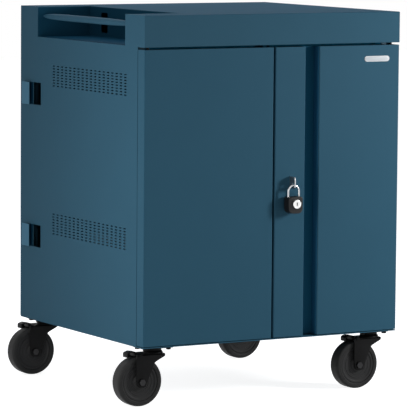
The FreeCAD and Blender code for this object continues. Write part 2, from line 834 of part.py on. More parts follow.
def caster_wheel(x, y):
    """Wheel: a hub with a thin web and a rim, and the rubber tyre around it."""
    centre = Vector(x - caster_trail, y, wheel_r)
    half = wheel_width / 2
    hub_half = half + hub_overhang
    web = web_width / 2
    bore = axle_r + running_clearance
    rim = half - rim_step
    core = [
        (bore, -hub_half), (hub_r, -hub_half), (hub_r, -web), (rim_r - rim_thick, -web),
        (rim_r - rim_thick, -rim), (rim_r, -rim), (rim_r, rim), (rim_r - rim_thick, rim),
        (rim_r - rim_thick, web), (hub_r, web), (hub_r, hub_half), (bore, hub_half),
    ]
    hub = revolved(core, centre, along_y, along_x)
    shoulder = tyre_shoulder
    tread = [
        (rim_r, -half), (wheel_r - shoulder, -half), (wheel_r, -half + shoulder), (wheel_r, half - shoulder),
        (wheel_r - shoulder, half), (rim_r, half),
    ]
    return hub, revolved(tread, centre, along_y, along_x)


def caster_axle(x, y):
    """Axle bolt through both legs, with a head at the front and a nut at the rear."""
    reach = wheel_width / 2 + leg_gap + leg_thick
    start = Vector(x - caster_trail, y - reach, wheel_r)
    ends = []
    for w0, w1 in ((y - reach - axle_head, y - reach), (y + reach, y + reach + axle_head)):
        ends.append(plate(hexagon(start.x, wheel_r, axle_head_r), "xz", w0, w1))
    return fuse(rod(start, along_y, axle_r, 2 * reach), *ends)


def casters():
    """Four identical braked swivel casters, all trailing to the left."""
    for name, (x, y) in caster_places().items():
        hub, tyre = caster_wheel(x, y)
        nodes[f"{name}_fork"] = caster_fork(x, y)
        nodes[f"{name}_axle"] = caster_axle(x, y)
        nodes[f"{name}_hub"] = hub
        nodes[f"{name}_tyre"] = tyre
        nodes[f"{name}_pedal"] = caster_pedal(x, y)


side_panels()
top_panel()
handle_well()
push_handle()
base_and_posts()
magnet_catches()
device_bays()
switch_pivot = power_equipment()
doors()
pivot_pins()
padlock_places = hasp_and_padlock()
rear_lock_place = rear_lock()
caster_mounts()
casters()

# The whole model is set so that the origin lies on the floor at the centre of its footprint.
bounds = Part.makeCompound(list(nodes.values())).optimalBoundingBox()
shift = Vector(-bounds.Center.x, -bounds.Center.y, -bounds.ZMin)

os.makedirs("parts", exist_ok=True)
for name, shape in nodes.items():
    shape.translated(shift).exportStep(f"parts/{name}.step")
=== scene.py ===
import json
import math

import bmesh
import bpy
import numpy as np
from mathutils import Matrix, Vector


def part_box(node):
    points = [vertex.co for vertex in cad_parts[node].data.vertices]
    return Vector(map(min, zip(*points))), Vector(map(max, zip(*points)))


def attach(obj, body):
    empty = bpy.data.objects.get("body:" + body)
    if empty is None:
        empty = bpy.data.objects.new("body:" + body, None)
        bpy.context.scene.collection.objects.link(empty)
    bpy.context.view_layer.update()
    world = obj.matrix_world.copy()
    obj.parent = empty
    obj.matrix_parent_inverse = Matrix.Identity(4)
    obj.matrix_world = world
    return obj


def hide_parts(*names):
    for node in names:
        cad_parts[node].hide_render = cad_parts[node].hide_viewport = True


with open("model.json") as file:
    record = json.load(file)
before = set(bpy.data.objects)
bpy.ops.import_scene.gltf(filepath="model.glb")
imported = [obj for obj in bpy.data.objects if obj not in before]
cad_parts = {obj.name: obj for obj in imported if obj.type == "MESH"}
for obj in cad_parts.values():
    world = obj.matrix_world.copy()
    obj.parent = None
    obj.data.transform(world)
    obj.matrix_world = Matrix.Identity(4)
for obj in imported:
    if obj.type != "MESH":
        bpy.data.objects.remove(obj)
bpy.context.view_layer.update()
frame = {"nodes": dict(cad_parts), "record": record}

nodes = frame["nodes"]
MM = 0.001
WELD = 0.001 * MM
NO_LENGTH = 1e-12
NO_STEP = 1e-9
MITRE_FLOOR = 0.5


# Surfaces

class Shape:
    """Gathers surfaces, each one a whole array of points with a whole array of faces into them."""

    def __init__(self):
        self.points = []
        self.faces = []
        self.count = 0

    def add(self, points, faces):
        """Take in points of any array shape ending in three, and faces of one corner count."""
        points = np.asarray(points, float).reshape(-1, 3)
        self.points.append(points)
        self.faces.extend((np.asarray(faces) + self.count).tolist())
        self.count += len(points)

    def grid(self, points, close_v=False, flip=False):
        """Quads over an n by m sheet of points, the last column joined to the first where asked."""
        n, m = points.shape[:2]
        index = np.arange(n * m).reshape(n, m)
        if close_v:
            index = np.hstack([index, index[:, :1]])
        quads = np.stack([index[:-1, :-1], index[1:, :-1], index[1:, 1:], index[:-1, 1:]], -1).reshape(-1, 4)
        self.add(points, quads[:, ::-1] if flip else quads)

    def cap(self, ring, flip=False):
        """One flat face over a ring of points."""
        order = np.arange(len(ring))
        self.add(ring, [order[::-1] if flip else order])


def piece(name, shape, body, material, replaces=(), sharp=35.0):
    """One welded mesh at the origin, smooth but for edges sharper than the given angle, riding on a body."""
    mesh = bpy.data.meshes.new(name)
    mesh.from_pydata(np.concatenate(shape.points).tolist(), [], shape.faces)
    welded = bmesh.new()
    welded.from_mesh(mesh)
    bmesh.ops.remove_doubles(welded, verts=welded.verts, dist=WELD)
    welded.to_mesh(mesh)
    welded.free()
    mesh.validate()
    mesh.update()
    mesh.shade_smooth()
    mesh.set_sharp_from_angle(angle=math.radians(sharp))
    obj = bpy.data.objects.new(name, mesh)
    bpy.context.scene.collection.objects.link(obj)
    mesh.materials.append(material)
    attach(obj, body)
    if replaces:
        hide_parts(*replaces)
    return obj


def unit(vectors):
    """Each row divided by its length."""
    return vectors / np.maximum(np.linalg.norm(vectors, axis=-1, keepdims=True), NO_LENGTH)


def rounded_outline(corners, steps=6):
    """Closed outline through (u, v, radius) corners given anticlockwise.

    Each corner becomes the arc of its radius that touches both sides: its centre lies on the bisector at radius over
    the sine of the half angle, and the spoke to the first touching point is turned in even steps to the second."""
    corners = np.asarray(corners, float)
    here = corners[:, :2]
    radius = corners[:, 2:]
    before = unit(np.roll(here, 1, 0) - here)
    after = unit(np.roll(here, -1, 0) - here)
    half = np.arccos(np.clip((before * after).sum(1, keepdims=True), -1, 1)) / 2
    centre = here + unit(before + after) * radius / np.sin(half)
    start = here + before * radius / np.tan(half) - centre
    end = here + after * radius / np.tan(half) - centre
    sweep = np.arctan2(start[:, 0] * end[:, 1] - start[:, 1] * end[:, 0], (start * end).sum(1))
    turn = sweep[:, None] * np.linspace(0, 1, steps)
    u = start[:, :1] * np.cos(turn) - start[:, 1:] * np.sin(turn)
    v = start[:, :1] * np.sin(turn) + start[:, 1:] * np.cos(turn)
    return (centre[:, None] + np.stack([u, v], -1)).reshape(-1, 2)


def oblong(u, v, width, height, corner, steps=6):
    """Rectangle about (u, v) with rounded corners, anticlockwise."""
    w = width / 2
    h = height / 2
    return rounded_outline([(u - w, v - h, corner), (u + w, v - h, corner), (u + w, v + h, corner),
                            (u - w, v + h, corner)], steps)


def inward_steps(outline):
    """For each point of an outline, the move that draws both edges beside it in by one unit."""
    ahead = np.roll(outline, -1, 0) - outline
    still = np.linalg.norm(ahead, axis=1) < NO_STEP
    ahead[still] = np.roll(ahead, 1, 0)[still]
    ahead = unit(ahead)
    inward = np.stack([-ahead[:, 1], ahead[:, 0]], 1)
    mean = unit(inward + np.roll(inward, 1, 0))
    return mean / np.maximum((mean * inward).sum(1), MITRE_FLOOR)[:, None]


PLANES = {"xy": (0, 1, 2), "xz": (0, 2, 1), "yz": (1, 2, 0)}


def soft_plate(shape, outline, plane, w0, w1, edge, steps=4):
    """Plate from an anticlockwise outline carried from w0 to w1.

    At the angle q of either rim the outline is drawn in by edge (1 - sin q), at a depth of edge (1 - cos q) below the
    face, so that both rims are quarter circles."""
    q = np.linspace(0, math.pi / 2, steps)
    inset = edge * (1 - np.sin(q))
    depth = edge * (1 - np.cos(q))
    insets = np.concatenate([inset, inset[::-1]])
    outline = np.asarray(outline, float)
    u, v, w = PLANES[plane]
    rings = np.empty((len(insets), len(outline), 3))
    rings[..., [u, v]] = outline + inward_steps(outline) * insets[:, None, None]
    rings[..., w] = np.concatenate([w0 + depth, w1 - depth[::-1]])[:, None]
    mirrored_plane = plane == "xz"
    shape.grid(rings, close_v=True, flip=not mirrored_plane)
    shape.cap(rings[-1], flip=mirrored_plane)
    shape.cap(rings[0], flip=not mirrored_plane)


SPOKES = {"y": ((0.0, 0.0, 1.0), (1.0, 0.0, 0.0)), "z": ((1.0, 0.0, 0.0), (0.0, 1.0, 0.0))}


def turned_form(shape, profile, centre, axis, sides=96):
    """Form of revolution: centre + r (cos t across + sin t other) + h along, for each (r, h) of a profile and turn t.

    The solid lies to the left of the profile."""
    across, other = np.array(SPOKES[axis])
    r, h = np.asarray(profile, float).T[:, :, None, None]
    t = np.linspace(0, 2 * math.pi, sides, endpoint=False)
    spokes = np.outer(np.cos(t), across) + np.outer(np.sin(t), other)
    shape.grid(np.asarray(centre) + r * spokes + h * np.cross(across, other), close_v=True, flip=True)


def tube(shape, path, radius, sides=28):
    """Round tube in a plane square to y: path + radius (cos t first + sin t second), both spokes square to the path."""
    ahead = unit(np.gradient(path, axis=0))
    first = unit(np.cross(ahead, (0.0, 1.0, 0.0)))
    second = np.cross(ahead, first)
    t = np.linspace(0, 2 * math.pi, sides, endpoint=False)[:, None]
    rings = path[:, None] + radius * (np.cos(t) * first[:, None] + np.sin(t) * second[:, None])
    shape.grid(rings, close_v=True, flip=True)
    shape.cap(rings[0], flip=True)
    shape.cap(rings[-1])


def strip_outline(path, thick, bend, end):
    """Outline of a strip laid to the right of a path: each corner moves square to both of its runs, then is rounded."""
    path = np.asarray(path, float)
    run = unit(np.diff(path, axis=0))
    side = np.stack([run[:, 1], -run[:, 0]], 1)
    joints = (side[:-1] + side[1:]) / (1 + (side[:-1] * side[1:]).sum(1, keepdims=True))
    inner = path + np.vstack([side[:1], joints, side[-1:]]) * thick
    inner_r = np.array([end] + [bend] * (len(path) - 2) + [end])
    outer_r = inner_r + np.array([0] + [thick] * (len(path) - 2) + [0])
    corners = np.vstack([np.column_stack([inner, inner_r]), np.column_stack([path, outer_r])[::-1]])
    return rounded_outline(corners, 7)


# Finishes

GLOSS_SCALE = 2.3
MIX_FACTOR, MIX_FIRST, MIX_SECOND, MIX_RESULT = 0, 6, 7, 2


def new_material(name):
    """Empty node material with its Principled shader and Object coordinates."""
    material = bpy.data.materials.new(name)
    material.use_nodes = True
    tree = material.node_tree
    tree.nodes.clear()
    out = tree.nodes.new("ShaderNodeOutputMaterial")
    shader = tree.nodes.new("ShaderNodeBsdfPrincipled")
    coords = tree.nodes.new("ShaderNodeTexCoord")
    tree.links.new(shader.outputs["BSDF"], out.inputs["Surface"])
    return material, tree, shader, coords


def noise(tree, coords, scale, detail=3.0):
    """Noise over Object coordinates."""
    tex = tree.nodes.new("ShaderNodeTexNoise")
    tex.inputs["Scale"].default_value = scale
    tex.inputs["Detail"].default_value = detail
    tree.links.new(coords.outputs["Object"], tex.inputs["Vector"])
    return tex.outputs["Fac"]


def ramp(tree, fac, low, high, start=0.3, stop=0.7):
    """Colour or grey ramp between two values over a span of the factor."""
    node = tree.nodes.new("ShaderNodeValToRGB")
    node.color_ramp.elements[0].position = start
    node.color_ramp.elements[1].position = stop
    for element, value in zip(node.color_ramp.elements, (low, high)):
        element.color = (*value, 1) if isinstance(value, tuple) else (value, value, value, 1)
    tree.links.new(fac, node.inputs["Fac"])
    return node.outputs["Color"]


def bump(tree, shader, height, strength, distance):
    """Bump of the shader's normal from a height."""
    node = tree.nodes.new("ShaderNodeBump")
    node.inputs["Strength"].default_value = strength
    node.inputs["Distance"].default_value = distance
    tree.links.new(height, node.inputs["Height"])
    tree.links.new(node.outputs["Normal"], shader.inputs["Normal"])


def tinted(colour, factors):
    """A colour with each of its channels scaled by its own factor."""
    return tuple(c * f for c, f in zip(colour, factors))


def finish(name, colour, rough, metallic=0.0, spread=0.06, rough_spread=0.05, grain=400.0, depth=0.03 * MM,
           strength=0.25, patch=9.0, specular=0.5):
    """Coat with drifting tone, drifting gloss and a fine grain: paint, plastic, rubber or metal by its numbers."""
    material, tree, shader, coords = new_material(name)
    shader.inputs["Metallic"].default_value = metallic
    shader.inputs["Specular IOR Level"].default_value = specular
    tone = noise(tree, coords, patch, detail=4.0)
    darker = tinted(colour, [1 - spread] * 3)
    lighter = tinted(colour, [1 + spread] * 3)
    tree.links.new(ramp(tree, tone, darker, lighter), shader.inputs["Base Color"])
    gloss = noise(tree, coords, patch * GLOSS_SCALE, detail=5.0)
    tree.links.new(ramp(tree, gloss, rough - rough_spread, rough + rough_spread), shader.inputs["Roughness"])
    bump(tree, shader, noise(tree, coords, grain, detail=2.0), strength, depth)
    return material


def powder_coat(name, factors=(1, 1, 1), specular=0.05):
    """The cabinet's blue powder coat, with its fine orange peel, its channels made lighter or darker where light or
    shade is painted in.
    """
    return finish(name, tinted(BLUE, factors), rough=0.55, spread=0.015, rough_spread=0.012, grain=900.0,
                  depth=0.04 * MM, strength=0.3, specular=specular)


def tint_inside(material, spans, factors):
    """Scale the base colour's channels inside a box of Object coordinates, given as (axis, low, high) spans."""
    tree = material.node_tree
    shader = next(n for n in tree.nodes if n.type == "BSDF_PRINCIPLED")
    coords = next(n for n in tree.nodes if n.type == "TEX_COORD")
    split = tree.nodes.new("ShaderNodeSeparateXYZ")
    tree.links.new(coords.outputs["Object"], split.inputs["Vector"])
    mask = None
    for axis, low, high in spans:
        inside = tree.nodes.new("ShaderNodeMath")
        inside.operation = "COMPARE"
        inside.inputs[1].default_value = (low + high) / 2
        inside.inputs[2].default_value = (high - low) / 2
        tree.links.new(split.outputs[axis], inside.inputs[0])
        if mask is not None:
            both = tree.nodes.new("ShaderNodeMath")
            both.operation = "MULTIPLY"
            tree.links.new(mask.outputs[0], both.inputs[0])
            tree.links.new(inside.outputs[0], both.inputs[1])
            inside = both
        mask = inside
    mix = tree.nodes.new("ShaderNodeMix")
    mix.data_type = "RGBA"
    mix.blend_type = "MULTIPLY"
    colour = shader.inputs["Base Color"].links[0].from_socket
    tree.links.new(mask.outputs[0], mix.inputs[MIX_FACTOR])
    tree.links.new(colour, mix.inputs[MIX_FIRST])
    mix.inputs[MIX_SECOND].default_value = (*factors, 1)
    tree.links.new(mix.outputs[MIX_RESULT], shader.inputs["Base Color"])


# Powder coats: the factors tune a sheet to its own light by painting light or shade into its colour: painted light on
# the top and the hook lips, painted shade on the headers in the gap above the doors, in the handle well, on the hook
# legs and inside the other gaps and hollows

BLUE = (0.0305, 0.0990, 0.1530)
paint = powder_coat("blue_powder_coat")
# Painted shade: the right door's coat, darkened in the finger channel below
door_paint_with_painted_shade = powder_coat("blue_door_coat_with_painted_shade")
# Painted shade: the left side sheet's coat, darkened behind the hook lips below
side_paint_with_painted_shade = powder_coat("blue_side_coat_with_painted_shade")
# Painted light: the top coat is lightened to stand in for the light that falls on the top
top_paint_with_painted_light = powder_coat("blue_top_coat_with_painted_light", (1.40, 1.15, 1.10), 0.0025)
# Painted shade: the headers are darkened to stand in for the shade in the gap above the doors
header_painted_shade = powder_coat("blue_header_coat_painted_shade", (0.15, 0.85, 1.0), 0.0025)
# Painted shade: this coat is darkened to stand in for the shade in the handle well and on the hook legs under the lips
painted_shade_coat = powder_coat("blue_coat_painted_shade", (0.28, 0.52, 0.60), 0.005)
# Painted highlight: the hook lips are lightened to stand in for the light they catch
lip_painted_light = powder_coat("blue_hook_coat_painted_light", (2.7, 2.12, 2.04))
inner_paint = finish("blue_inner_coat", tinted(BLUE, (0.85, 0.9, 0.9)), 0.5, spread=0.04, grain=900.0, depth=0.04 * MM,
                     specular=0.2)

# Metals, mouldings, enamels and rubber

zinc = finish("zinc_plate", (0.50, 0.51, 0.52), 0.32, 1.0, grain=260.0, patch=60.0)
rim_steel = finish("satin_steel", (0.42, 0.43, 0.44), 0.6, 0.6, grain=260.0, patch=60.0, specular=0.2)
dark_zinc = finish("dark_zinc", (0.026, 0.026, 0.027), 0.40, 1.0, grain=300.0, patch=60.0)
chrome = finish("bright_steel", (0.50, 0.51, 0.52), 0.17, 1.0, grain=500.0, patch=50.0, rough_spread=0.04)
turned = finish("turned_steel", (0.76, 0.76, 0.75), 0.3, 1.0, grain=700.0, patch=80.0)
enamel = finish("silver_enamel", (0.64, 0.68, 0.71), 0.4, spread=0.02, grain=500.0, patch=40.0, specular=0.08)
lock_black = finish("lock_enamel", (0.010, 0.010, 0.0105), 0.34, grain=600.0, patch=40.0, specular=0.25)
divider = finish("grey_moulding", (0.16, 0.165, 0.17), 0.5, grain=700.0, patch=12.0)
outlet = finish("outlet_moulding", (0.022, 0.022, 0.024), 0.48, grain=800.0, patch=30.0, specular=0.3)
insert_grey = finish("insert_moulding", (0.09, 0.09, 0.095), 0.42, grain=700.0, patch=40.0)
box_coat = finish("dark_texture_coat", (0.03, 0.03, 0.033), 0.55, grain=450.0, depth=0.1 * MM, strength=0.5)
rocker_gloss = finish("rocker_gloss", (0.012, 0.012, 0.012), 0.18, grain=300.0, strength=0.05, patch=40.0)
fork_black = finish("black_e_coat", (0.0070, 0.0070, 0.0073), 0.36, grain=600.0, patch=30.0, spread=0.15, specular=0.06)
hub_black = finish("hub_moulding", (0.0330, 0.0330, 0.0335), 0.42, grain=650.0, patch=30.0, spread=0.12, specular=0.07)
rubber = finish("tyre_rubber", (0.0310, 0.0310, 0.0310), 0.48, grain=500.0, patch=35.0, spread=0.15, specular=0.07)

CAD_SHARP = 32.0
slot_finishes = {
    "shell_paint": paint, "frame_paint": inner_paint, "zinc_steel": zinc, "shackle_steel": chrome,
    "padlock_black": lock_black, "cylinder_steel": turned, "divider_plastic": divider, "outlet_plastic": outlet,
    "box_paint": box_coat, "switch_plastic": rocker_gloss, "caster_black": fork_black, "hub_plastic": hub_black,
    "tyre_rubber": rubber,
}


def refinish(node, material):
    """Another finish on one of the frame's nodes."""
    nodes[node].data.materials.clear()
    nodes[node].data.materials.append(material)


for part in frame["record"]["subparts"]:
    refinish(part["node"], slot_finishes[part["material_slot"]])
    nodes[part["node"]].data.shade_smooth()
    nodes[part["node"]].data.set_sharp_from_angle(angle=math.radians(CAD_SHARP))
# Painted light: the top panel takes the lightened top coat
refinish("top_panel", top_paint_with_painted_light)
# Painted shade: the handle well takes the darkened coat
refinish("handle_well", painted_shade_coat)
refinish("caster_bolts", fork_black)
# Painted shade: the headers and magnet catches, seen in the gap above the doors, take the darkened header coat
refinish("headers", header_painted_shade)
refinish("magnet_catches", header_painted_shade)

# Right door: painted shade on the finger channel's floor and its right wall, which lie in deep shade

STRIP_WIDTH = 91.5 * MM
CHANNEL_WIDTH = 41.0 * MM
CHANNEL_DEPTH = 28.0 * MM
CHANNEL_LAP = 1.0 * MM
CHANNEL_FLOOR_LAP = 3.0 * MM
CHANNEL_FLOOR_SPAN = 4.0 * MM
CHANNEL_WALL_SPAN = 2.0 * MM
CHANNEL_FLOOR_SHADE = (0.40, 1.0, 1.15)
CHANNEL_WALL_SHADE = (0.75, 1.28, 1.50)
cad_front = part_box("left_door")[0][1]
cad_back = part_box("rear_door")[1][1]
channel_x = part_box("right_door")[0][0] + STRIP_WIDTH
channel_end = channel_x + CHANNEL_WIDTH
floor_y = cad_front + CHANNEL_DEPTH - CHANNEL_FLOOR_LAP
channel_floor = [("X", channel_x - CHANNEL_LAP, channel_end + CHANNEL_LAP),
                 ("Y", floor_y, floor_y + CHANNEL_FLOOR_SPAN)]
tint_inside(door_paint_with_painted_shade, channel_floor, CHANNEL_FLOOR_SHADE)
channel_wall = [("X", channel_end - CHANNEL_WALL_SPAN, channel_end + CHANNEL_LAP),
                ("Y", cad_front + CHANNEL_WALL_SPAN, floor_y)]
tint_inside(door_paint_with_painted_shade, channel_wall, CHANNEL_WALL_SHADE)
refinish("right_door", door_paint_with_painted_shade)


# Side panels: sheets with rows of fine round-ended slots, and the cord hooks

SHEET = 1.5 * MM
VENT_COLUMNS = 18
VENT_ROWS = 8
VENT_PITCH_Z = 7.5 * MM
VENT_FRONT = 102.0 * MM
VENT_REAR = 196.0 * MM
SLOT_LENGTH = 13.0 * MM
SLOT_HEIGHT = 3.0 * MM
SLOT_STEPS = 5
VENT_CENTRES = (424.0 * MM, 819.0 * MM)
VENT_END = 545.0 * MM
HOOK_CENTRES = (382.0 * MM, 766.0 * MM)
HOOK_HEIGHT = 60.0 * MM
HOOK_HOLE = (577.0 * MM, 626.0 * MM)
HOOK_STAND_OFF = 11.0 * MM
HOOK_LIP = (626.0 * MM, 669.0 * MM)
HOOK_LEG = 640.0 * MM
HOOK_CORNER = 2.0 * MM
HOOK_SHADE = (0.05, 0.20, 0.28)
HOOK_SHADE_LAP = 1.0 * MM
HOOK_LIP_EDGE = 0.4 * MM
HOOK_LEG_CORNER = 0.2 * MM
HOOK_LEG_EDGE = 0.1 * MM
SEAM = 37.0 * MM
EAR_RADIUS = 3.0 * MM
EAR_STEPS = 6
FRONT_POST = 104.0 * MM
REAR_POST = 100.0 * MM


def on_sheet(x, ring):
    """(y, z) points, of any array shape ending in two, stood at an x."""
    ring = np.asarray(ring, float)
    return np.concatenate([np.full(ring.shape[:-1] + (1,), x), ring], -1)


class Sheet(Shape):
    """A sheet square to x, drawn as flat tiles on both faces and walls round its edges."""

    def __init__(self, x_low, x_high):
        super().__init__()
        self.x_low = x_low
        self.x_high = x_high

    def face(self, ring):
        """A flat tile on both faces, from an anticlockwise ring seen from +X."""
        self.cap(on_sheet(self.x_high, ring))
        self.cap(on_sheet(self.x_low, ring), flip=True)

    def tile(self, ya, yb, za, zb):
        """A rectangle on both faces."""
        self.face([(ya, za), (yb, za), (yb, zb), (ya, zb)])

    def wall(self, ring):
        """Edge along a closed ring: anticlockwise round the outside, clockwise round a hole."""
        ring = np.vstack([ring, ring[:1]])
        self.grid(np.stack([on_sheet(self.x_low, ring), on_sheet(self.x_high, ring)]), flip=True)

    def slots(self, y, z, pitch_y):
        """Slotted tiles about every centre of a grid: one tile's points and faces, repeated with the centres added.

        The slot is two half circles a run apart, each quarter of it joined to its own corner of the tile."""
        radius = SLOT_HEIGHT / 2
        signs = np.array([(1, 1), (-1, 1), (-1, -1), (1, -1)])
        turn = np.radians(90 * np.arange(4)[:, None] + np.linspace(0, 90, SLOT_STEPS))
        arcs = np.stack([np.cos(turn), np.sin(turn)], -1) * radius
        arcs[..., 0] += signs[:, :1] * (SLOT_LENGTH / 2 - radius)
        corners = signs * (pitch_y / 2, VENT_PITCH_Z / 2)
        outline = np.concatenate([corners, arcs.reshape(-1, 2)])
        centres = np.stack(np.meshgrid(y, z, indexing="ij"), -1).reshape(-1, 1, 2)
        rings = outline + centres
        count = len(outline)
        ring = 4 + np.arange(4 * SLOT_STEPS)
        quarters = ring.reshape(4, SLOT_STEPS)
        corner = np.arange(4)[:, None]
        following = np.roll(np.arange(4), -1)
        fans = np.hstack([corner, quarters[:, ::-1]])
        bands = np.hstack([corner, following[:, None], quarters[following, :1], quarters[:, -1:]])
        walls = np.stack([ring, np.roll(ring, 1), np.roll(ring, 1) + count, ring + count], 1)
        points = np.concatenate([on_sheet(self.x_low, rings), on_sheet(self.x_high, rings)], 1)
        start = 2 * count * np.arange(len(centres))[:, None, None]
        faces = [fans + count, bands + count, fans[:, ::-1], bands[:, ::-1], walls]
        base = self.count
        self.add(points, np.empty((0, 4), int))
        for kind in faces:
            self.faces.extend((base + start + kind).reshape(-1, kind.shape[1]).tolist())


def side_sheet(node, x_low, x_high, opening):
    """Sheet of a side panel: plain tiles, two slotted fields, and on the left the hook holes and the handle opening."""
    low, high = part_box(node)
    y0 = cad_front
    y1 = cad_back
    z0, z1 = low[2], high[2]
    ear_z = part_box("top_panel")[0][2]
    sheet = Sheet(x_low, x_high)
    turn = np.linspace(0, math.pi / 2, EAR_STEPS)
    rear_arc = np.stack([y1 - EAR_RADIUS * (1 - np.cos(turn)), z1 - EAR_RADIUS * (1 - np.sin(turn))], 1)
    front_arc = np.stack([y0 + y1 - rear_arc[::-1, 0], rear_arc[::-1, 1]], 1)
    seam_y = y0 + SEAM
    split = y0 + VENT_END
    pitch_y = (y1 - y0 - VENT_FRONT - VENT_REAR) / (VENT_COLUMNS - 1)
    vent_y = y0 + VENT_FRONT + pitch_y * np.arange(VENT_COLUMNS)
    half = VENT_ROWS * VENT_PITCH_Z / 2
    z = z0
    for centre in VENT_CENTRES:
        sheet.tile(seam_y, split, z, centre - half)
        sheet.tile(seam_y, vent_y[0] - pitch_y / 2, centre - half, centre + half)
        sheet.tile(vent_y[-1] + pitch_y / 2, split, centre - half, centre + half)
        sheet.slots(vent_y, centre - half + VENT_PITCH_Z * (np.arange(VENT_ROWS) + 0.5), pitch_y)
        z = centre + half
    sheet.tile(seam_y, split, z, ear_z)
    z = z0
    if opening:
        hole_a = y0 + HOOK_HOLE[0]
        hole_b = y0 + HOOK_HOLE[1]
        for centre in HOOK_CENTRES:
            za = centre - HOOK_HEIGHT / 2
            zb = centre + HOOK_HEIGHT / 2
            sheet.tile(split, y1, z, za)
            sheet.tile(split, hole_a, za, zb)
            sheet.tile(hole_b, y1, za, zb)
            sheet.wall([(hole_a, za), (hole_a, zb), (hole_b, zb), (hole_b, za)])
            z = zb
    sheet.tile(split, y1, z, ear_z)
    if opening:
        floor_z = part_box("handle_well")[0][2] + SHEET
        well_a = y0 + FRONT_POST
        well_b = y1 - REAR_POST
        sheet.tile(y0, y1, ear_z, floor_z)
        sheet.face(np.vstack([[(y0, floor_z), (well_a, floor_z), (well_a, z1)], front_arc]))
        sheet.face(np.vstack([[(well_b, floor_z), (y1, floor_z)], rear_arc, [(well_b, z1)]]))
        rim = np.vstack([rear_arc, [(well_b, z1), (well_b, floor_z), (well_a, floor_z), (well_a, z1)], front_arc])
    else:
        sheet.face(np.vstack([[(y0, ear_z), (y1, ear_z)], rear_arc, front_arc]))
        rim = np.vstack([rear_arc, front_arc])
    sheet.wall(np.vstack([[(seam_y, z0), (y1, z0)], rim, [(y0, ear_z), (seam_y, ear_z)]]))
    return sheet


left_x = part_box("left_door")[0][0]
right_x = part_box("right_side_panel")[1][0]
left_sheet = side_sheet("left_side_panel", left_x, left_x + SHEET, True)
# Painted shade: the sheet behind each hook lip is darkened where the gap under the lip lies in shade
for centre in HOOK_CENTRES:
    behind_lip = ("Y", cad_front + HOOK_HOLE[1] - HOOK_SHADE_LAP, cad_front + HOOK_LIP[1] - HOOK_STAND_OFF)
    beside_hole = ("Z", centre - HOOK_HEIGHT / 2, centre + HOOK_HEIGHT / 2)
    tint_inside(side_paint_with_painted_shade, [behind_lip, beside_hole], HOOK_SHADE)
piece("left_side_sheet", left_sheet, "cabinet", side_paint_with_painted_shade, ["left_side_panel"])
right_sheet = side_sheet("right_side_panel", right_x - SHEET, right_x, False)
piece("right_side_sheet", right_sheet, "cabinet", paint, ["right_side_panel"])

lips = Shape()
legs = Shape()
lip_x = left_x - HOOK_STAND_OFF
for centre in HOOK_CENTRES:
    lip = oblong(cad_front + sum(HOOK_LIP) / 2, centre, HOOK_LIP[1] - HOOK_LIP[0], HOOK_HEIGHT, HOOK_CORNER)
    soft_plate(lips, lip, "yz", lip_x, lip_x + SHEET, HOOK_LIP_EDGE)
    leg = oblong(cad_front + HOOK_LEG + SHEET / 2, centre, SHEET, HOOK_HEIGHT, HOOK_LEG_CORNER, 3)
    soft_plate(legs, leg, "yz", lip_x + SHEET / 2, left_x + SHEET / 2, HOOK_LEG_EDGE)
# Painted highlight: the hook lips take the lightened coat
piece("cord_hook_lips", lips, "cabinet", lip_painted_light)
# Painted shade: the hook legs take the darkened coat, standing in for the shade under the lips
piece("cord_hook_legs", legs, "cabinet", painted_shade_coat)


# Casters: tyre, hub, swivel fork and brake tread

WHEEL_R = 63.5 * MM
CASTER_TRAIL = 46.0 * MM
LEG_INNER = 23.0 * MM
LEG_OUTER = 26.5 * MM
LEG_BACK = 15.0 * MM
LEG_KNEE = (38.0 * MM, 113.0 * MM)
FOOT_R = 14.0 * MM
FOOT_HALF = 11.2 * MM
CROWN_LOW = 131.0 * MM
CROWN_TOP = 135.0 * MM
CROWN_SKIRT = 3.0 * MM
CROWN_BACK = 0.5 * MM
RACE_LOW = 142.0 * MM
RACE_R = 22.0 * MM
KINGPIN_R = 6.0 * MM
KINGPIN_TOP = 151.0 * MM
PEDAL_ROOT = (-55.0 * MM, 132.0 * MM)
PEDAL_PATH = np.array([(-81.0, 127.0), (-81.0, 139.0), (-69.0, 143.0), (-55.0, 141.0), (-50.5, 135.0)]) * MM
PEDAL_THICK = 3.0 * MM
PEDAL_HALF = 12.0 * MM
PEDAL_WEB = 8.0 * MM
BOSS_R = 4.5 * MM
PIN_R = 2.5 * MM
LEG_CORNER = 1.5 * MM
LEG_EDGE = 0.9 * MM
FOOT_CORNER = 8.0 * MM
SKIRT_CORNER = 3.0 * MM
CROWN_CORNER = 4.0 * MM
CROWN_EDGE = 1.0 * MM
PEDAL_BEND = 2.0 * MM
PEDAL_END = 1.2 * MM
PEDAL_EDGE = 1.0 * MM
BOSS_GAP = 0.5 * MM
BOSS_EDGE = 0.6 * MM
PIN_EDGE = 0.4 * MM
WEB_GAP = 1.0 * MM
WEB_CORNER = 0.5 * MM
WEB_EDGE = 0.4 * MM
TYRE_SIDES = 128
HUB_SIDES = 96
DOME_SIDES = 64
STUD_SIDES = 40
CASTER_SHARP = 40.0


def both_sides(profile):
    """A half profile in millimetres, run from one side of the wheel to the other and back to its start."""
    half = np.array(profile) * MM
    far = half * (1, -1)
    return np.vstack([far, half[::-1], far[:1]])


